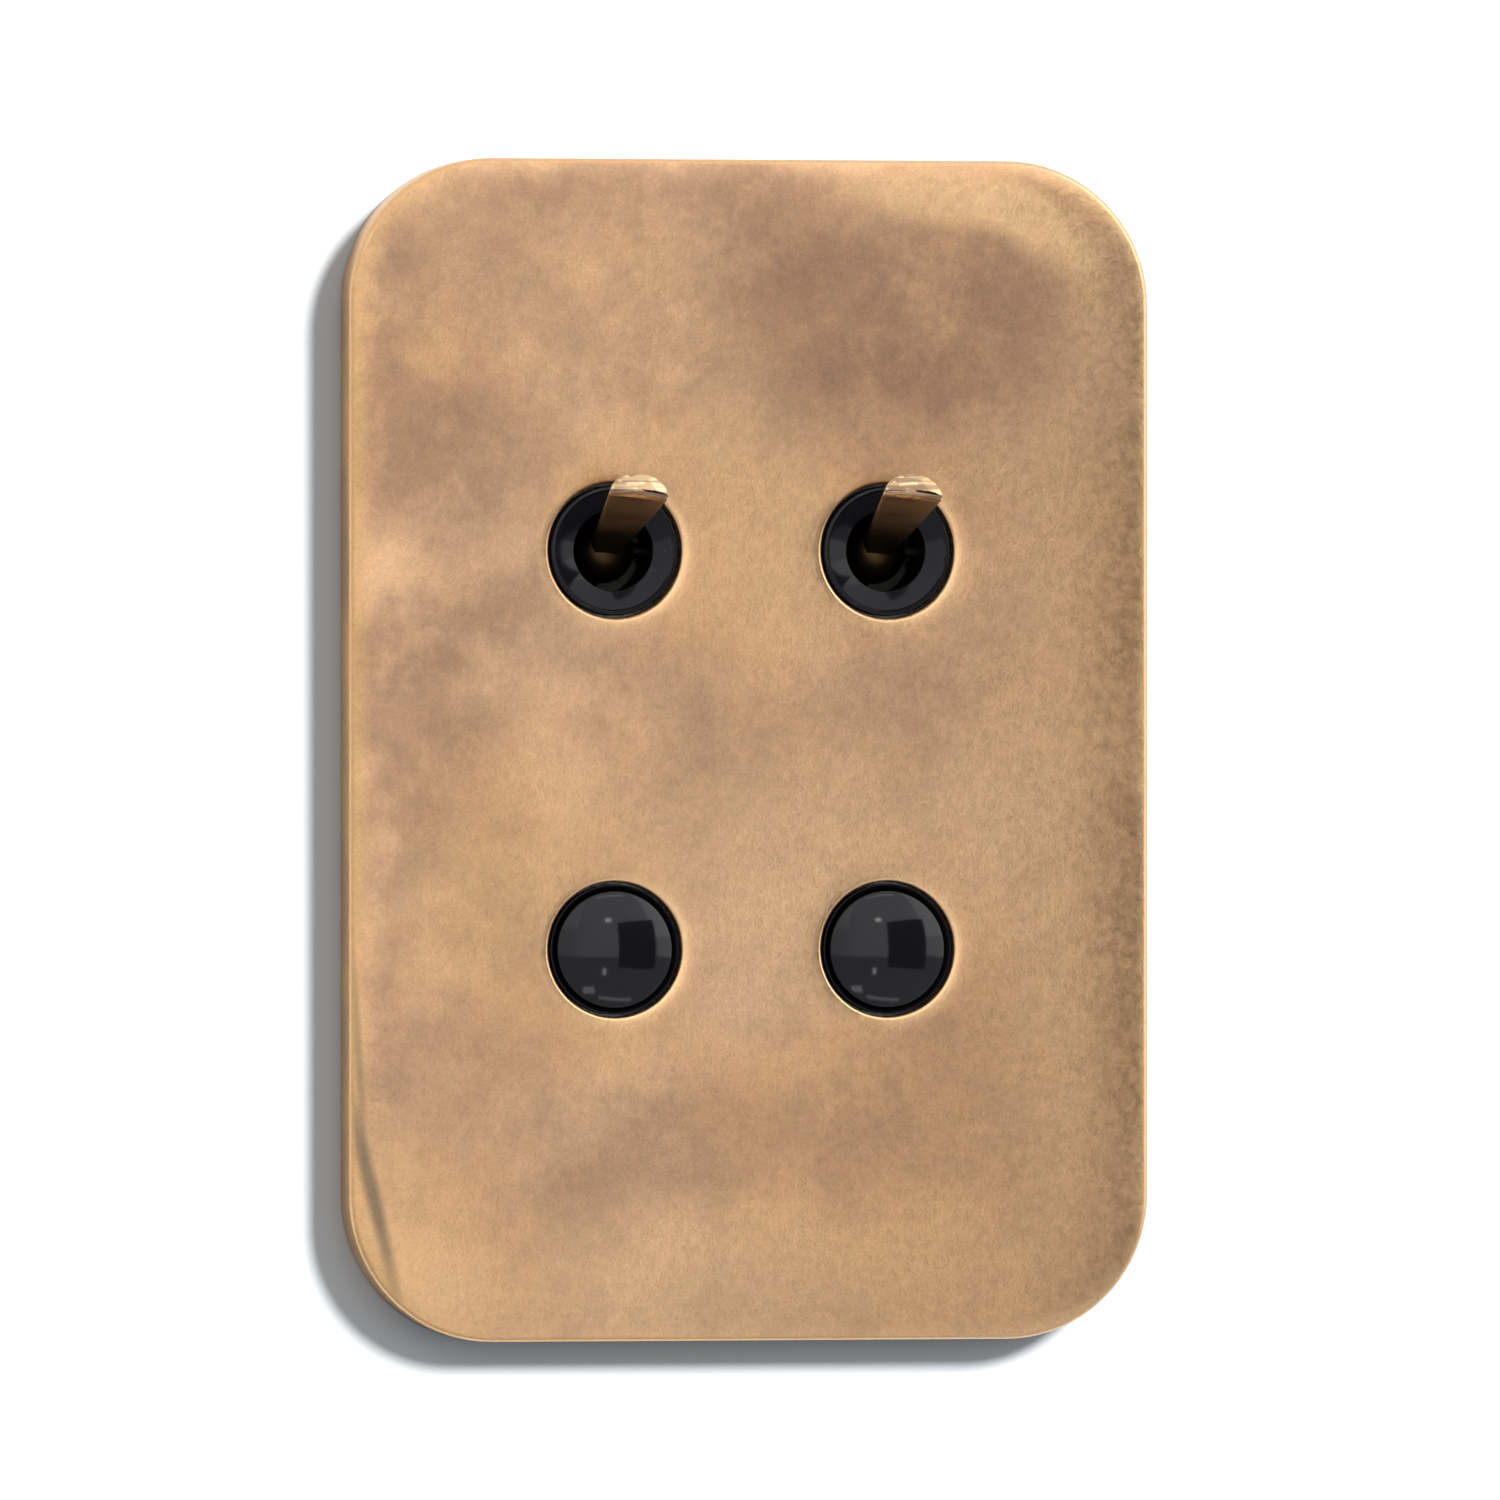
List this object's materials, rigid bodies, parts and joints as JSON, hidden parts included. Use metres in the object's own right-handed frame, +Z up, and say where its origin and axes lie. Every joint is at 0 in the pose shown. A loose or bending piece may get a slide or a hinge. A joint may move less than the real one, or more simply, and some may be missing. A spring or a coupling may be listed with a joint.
{
  "type": "toggle wall switch",
  "caption": "Wall switch: flatted brass toggle levers over domed push-buttons behind a screwless brass faceplate, on a frame that screws to a wall box.",
  "frame": {"origin": "centre of the faceplate on the wall plane, midway between the two box screws", "axes": "+Z up, -Y out of the wall towards the user, +Y into the wall, +X to the right as seen from the front"},
  "size_m": [0.0832, 0.0516, 0.1206],
  "materials": {
    "aged_brass": "aged, cloudy patina, satin",
    "lever_brass": "polished",
    "black_gloss": "glossy black",
    "blackened_metal": "blackened, semi-matt",
    "zinc_steel": "bright zinc plated",
    "sheet_steel": "brushed zinc plated sheet",
    "nickel": "nickel plated",
    "brass_parts": "bright drawn brass",
    "copper_contact": "copper alloy strip",
    "housing_black": "moulded black",
    "base_grey": "moulded dark grey",
    "carriage_ivory": "moulded ivory",
    "green_screw": "green passivated"
  },
  "bodies": {
    "switch_frame": {"faceplate": "aged_brass", "strike_discs": "sheet_steel", "magnets": "nickel", "grid_frame": "sheet_steel", "module_screws": "zinc_steel", "box_screws": "zinc_steel", "earth_screw": "green_screw", "earth_washer": "brass_parts", "toggle_bezel_left": "black_gloss", "lock_washer_left": "zinc_steel", "toggle_bush_left": "blackened_metal", "pivot_pin_left": "nickel", "detent_spring_left": "zinc_steel", "toggle_housing_left": "housing_black", "toggle_base_left": "base_grey", "toggle_terminals_left": "brass_parts", "toggle_terminal_screws_left": "zinc_steel", "button_collar_left": "black_gloss", "button_nut_left": "brass_parts", "button_housing_left": "housing_black", "button_base_left": "base_grey", "button_terminals_left": "brass_parts", "button_terminal_screws_left": "zinc_steel", "toggle_bezel_right": "black_gloss", "lock_washer_right": "zinc_steel", "toggle_bush_right": "blackened_metal", "pivot_pin_right": "nickel", "detent_spring_right": "zinc_steel", "toggle_housing_right": "housing_black", "toggle_base_right": "base_grey", "toggle_terminals_right": "brass_parts", "toggle_terminal_screws_right": "zinc_steel", "button_collar_right": "black_gloss", "button_nut_right": "brass_parts", "button_housing_right": "housing_black", "button_base_right": "base_grey", "button_terminals_right": "brass_parts", "button_terminal_screws_right": "zinc_steel"},
    "lever_left": {"toggle_lever_left": "lever_brass"},
    "carriage_left": {"contact_carriage_left": "carriage_ivory", "carriage_contact_left": "copper_contact"},
    "button_left": {"button_cap_left": "black_gloss", "button_stem_left": "carriage_ivory", "button_contact_left": "copper_contact", "button_spring_left": "zinc_steel"},
    "lever_right": {"toggle_lever_right": "lever_brass"},
    "carriage_right": {"contact_carriage_right": "carriage_ivory", "carriage_contact_right": "copper_contact"},
    "button_right": {"button_cap_right": "black_gloss", "button_stem_right": "carriage_ivory", "button_contact_right": "copper_contact", "button_spring_right": "zinc_steel"}
  },
  "joints": [
    {"name": "toggle_left", "type": "hinge", "parent": "switch_frame", "child": "lever_left", "pos_m": [-0.0142, 0.0015, 0.02035], "axis": [1, 0, 0], "range_deg": [0, 30.6]},
    {"name": "carriage_slide_left", "type": "slide", "parent": "switch_frame", "child": "carriage_left", "axis": [0, 0, 1], "range_m": [0, 0.00501]},
    {"name": "button_press_left", "type": "slide", "parent": "switch_frame", "child": "button_left", "axis": [0, 1, 0], "range_m": [0, 0.002], "stiffness_N_per_m": 400, "springref_m": -0.002, "deforming": ["button_spring_left"]},
    {"name": "toggle_right", "type": "hinge", "parent": "switch_frame", "child": "lever_right", "pos_m": [0.0142, 0.0015, 0.02035], "axis": [1, 0, 0], "range_deg": [0, 30.6]},
    {"name": "carriage_slide_right", "type": "slide", "parent": "switch_frame", "child": "carriage_right", "axis": [0, 0, 1], "range_m": [0, 0.00501]},
    {"name": "button_press_right", "type": "slide", "parent": "switch_frame", "child": "button_right", "axis": [0, 1, 0], "range_m": [0, 0.002], "stiffness_N_per_m": 400, "springref_m": -0.002, "deforming": ["button_spring_right"]}
  ],
  "couplings": [
    {"joint": "toggle_left", "follows": "carriage_slide_left", "rad_per_m": 106.53},
    {"joint": "toggle_right", "follows": "carriage_slide_right", "rad_per_m": 106.53}
  ]
}
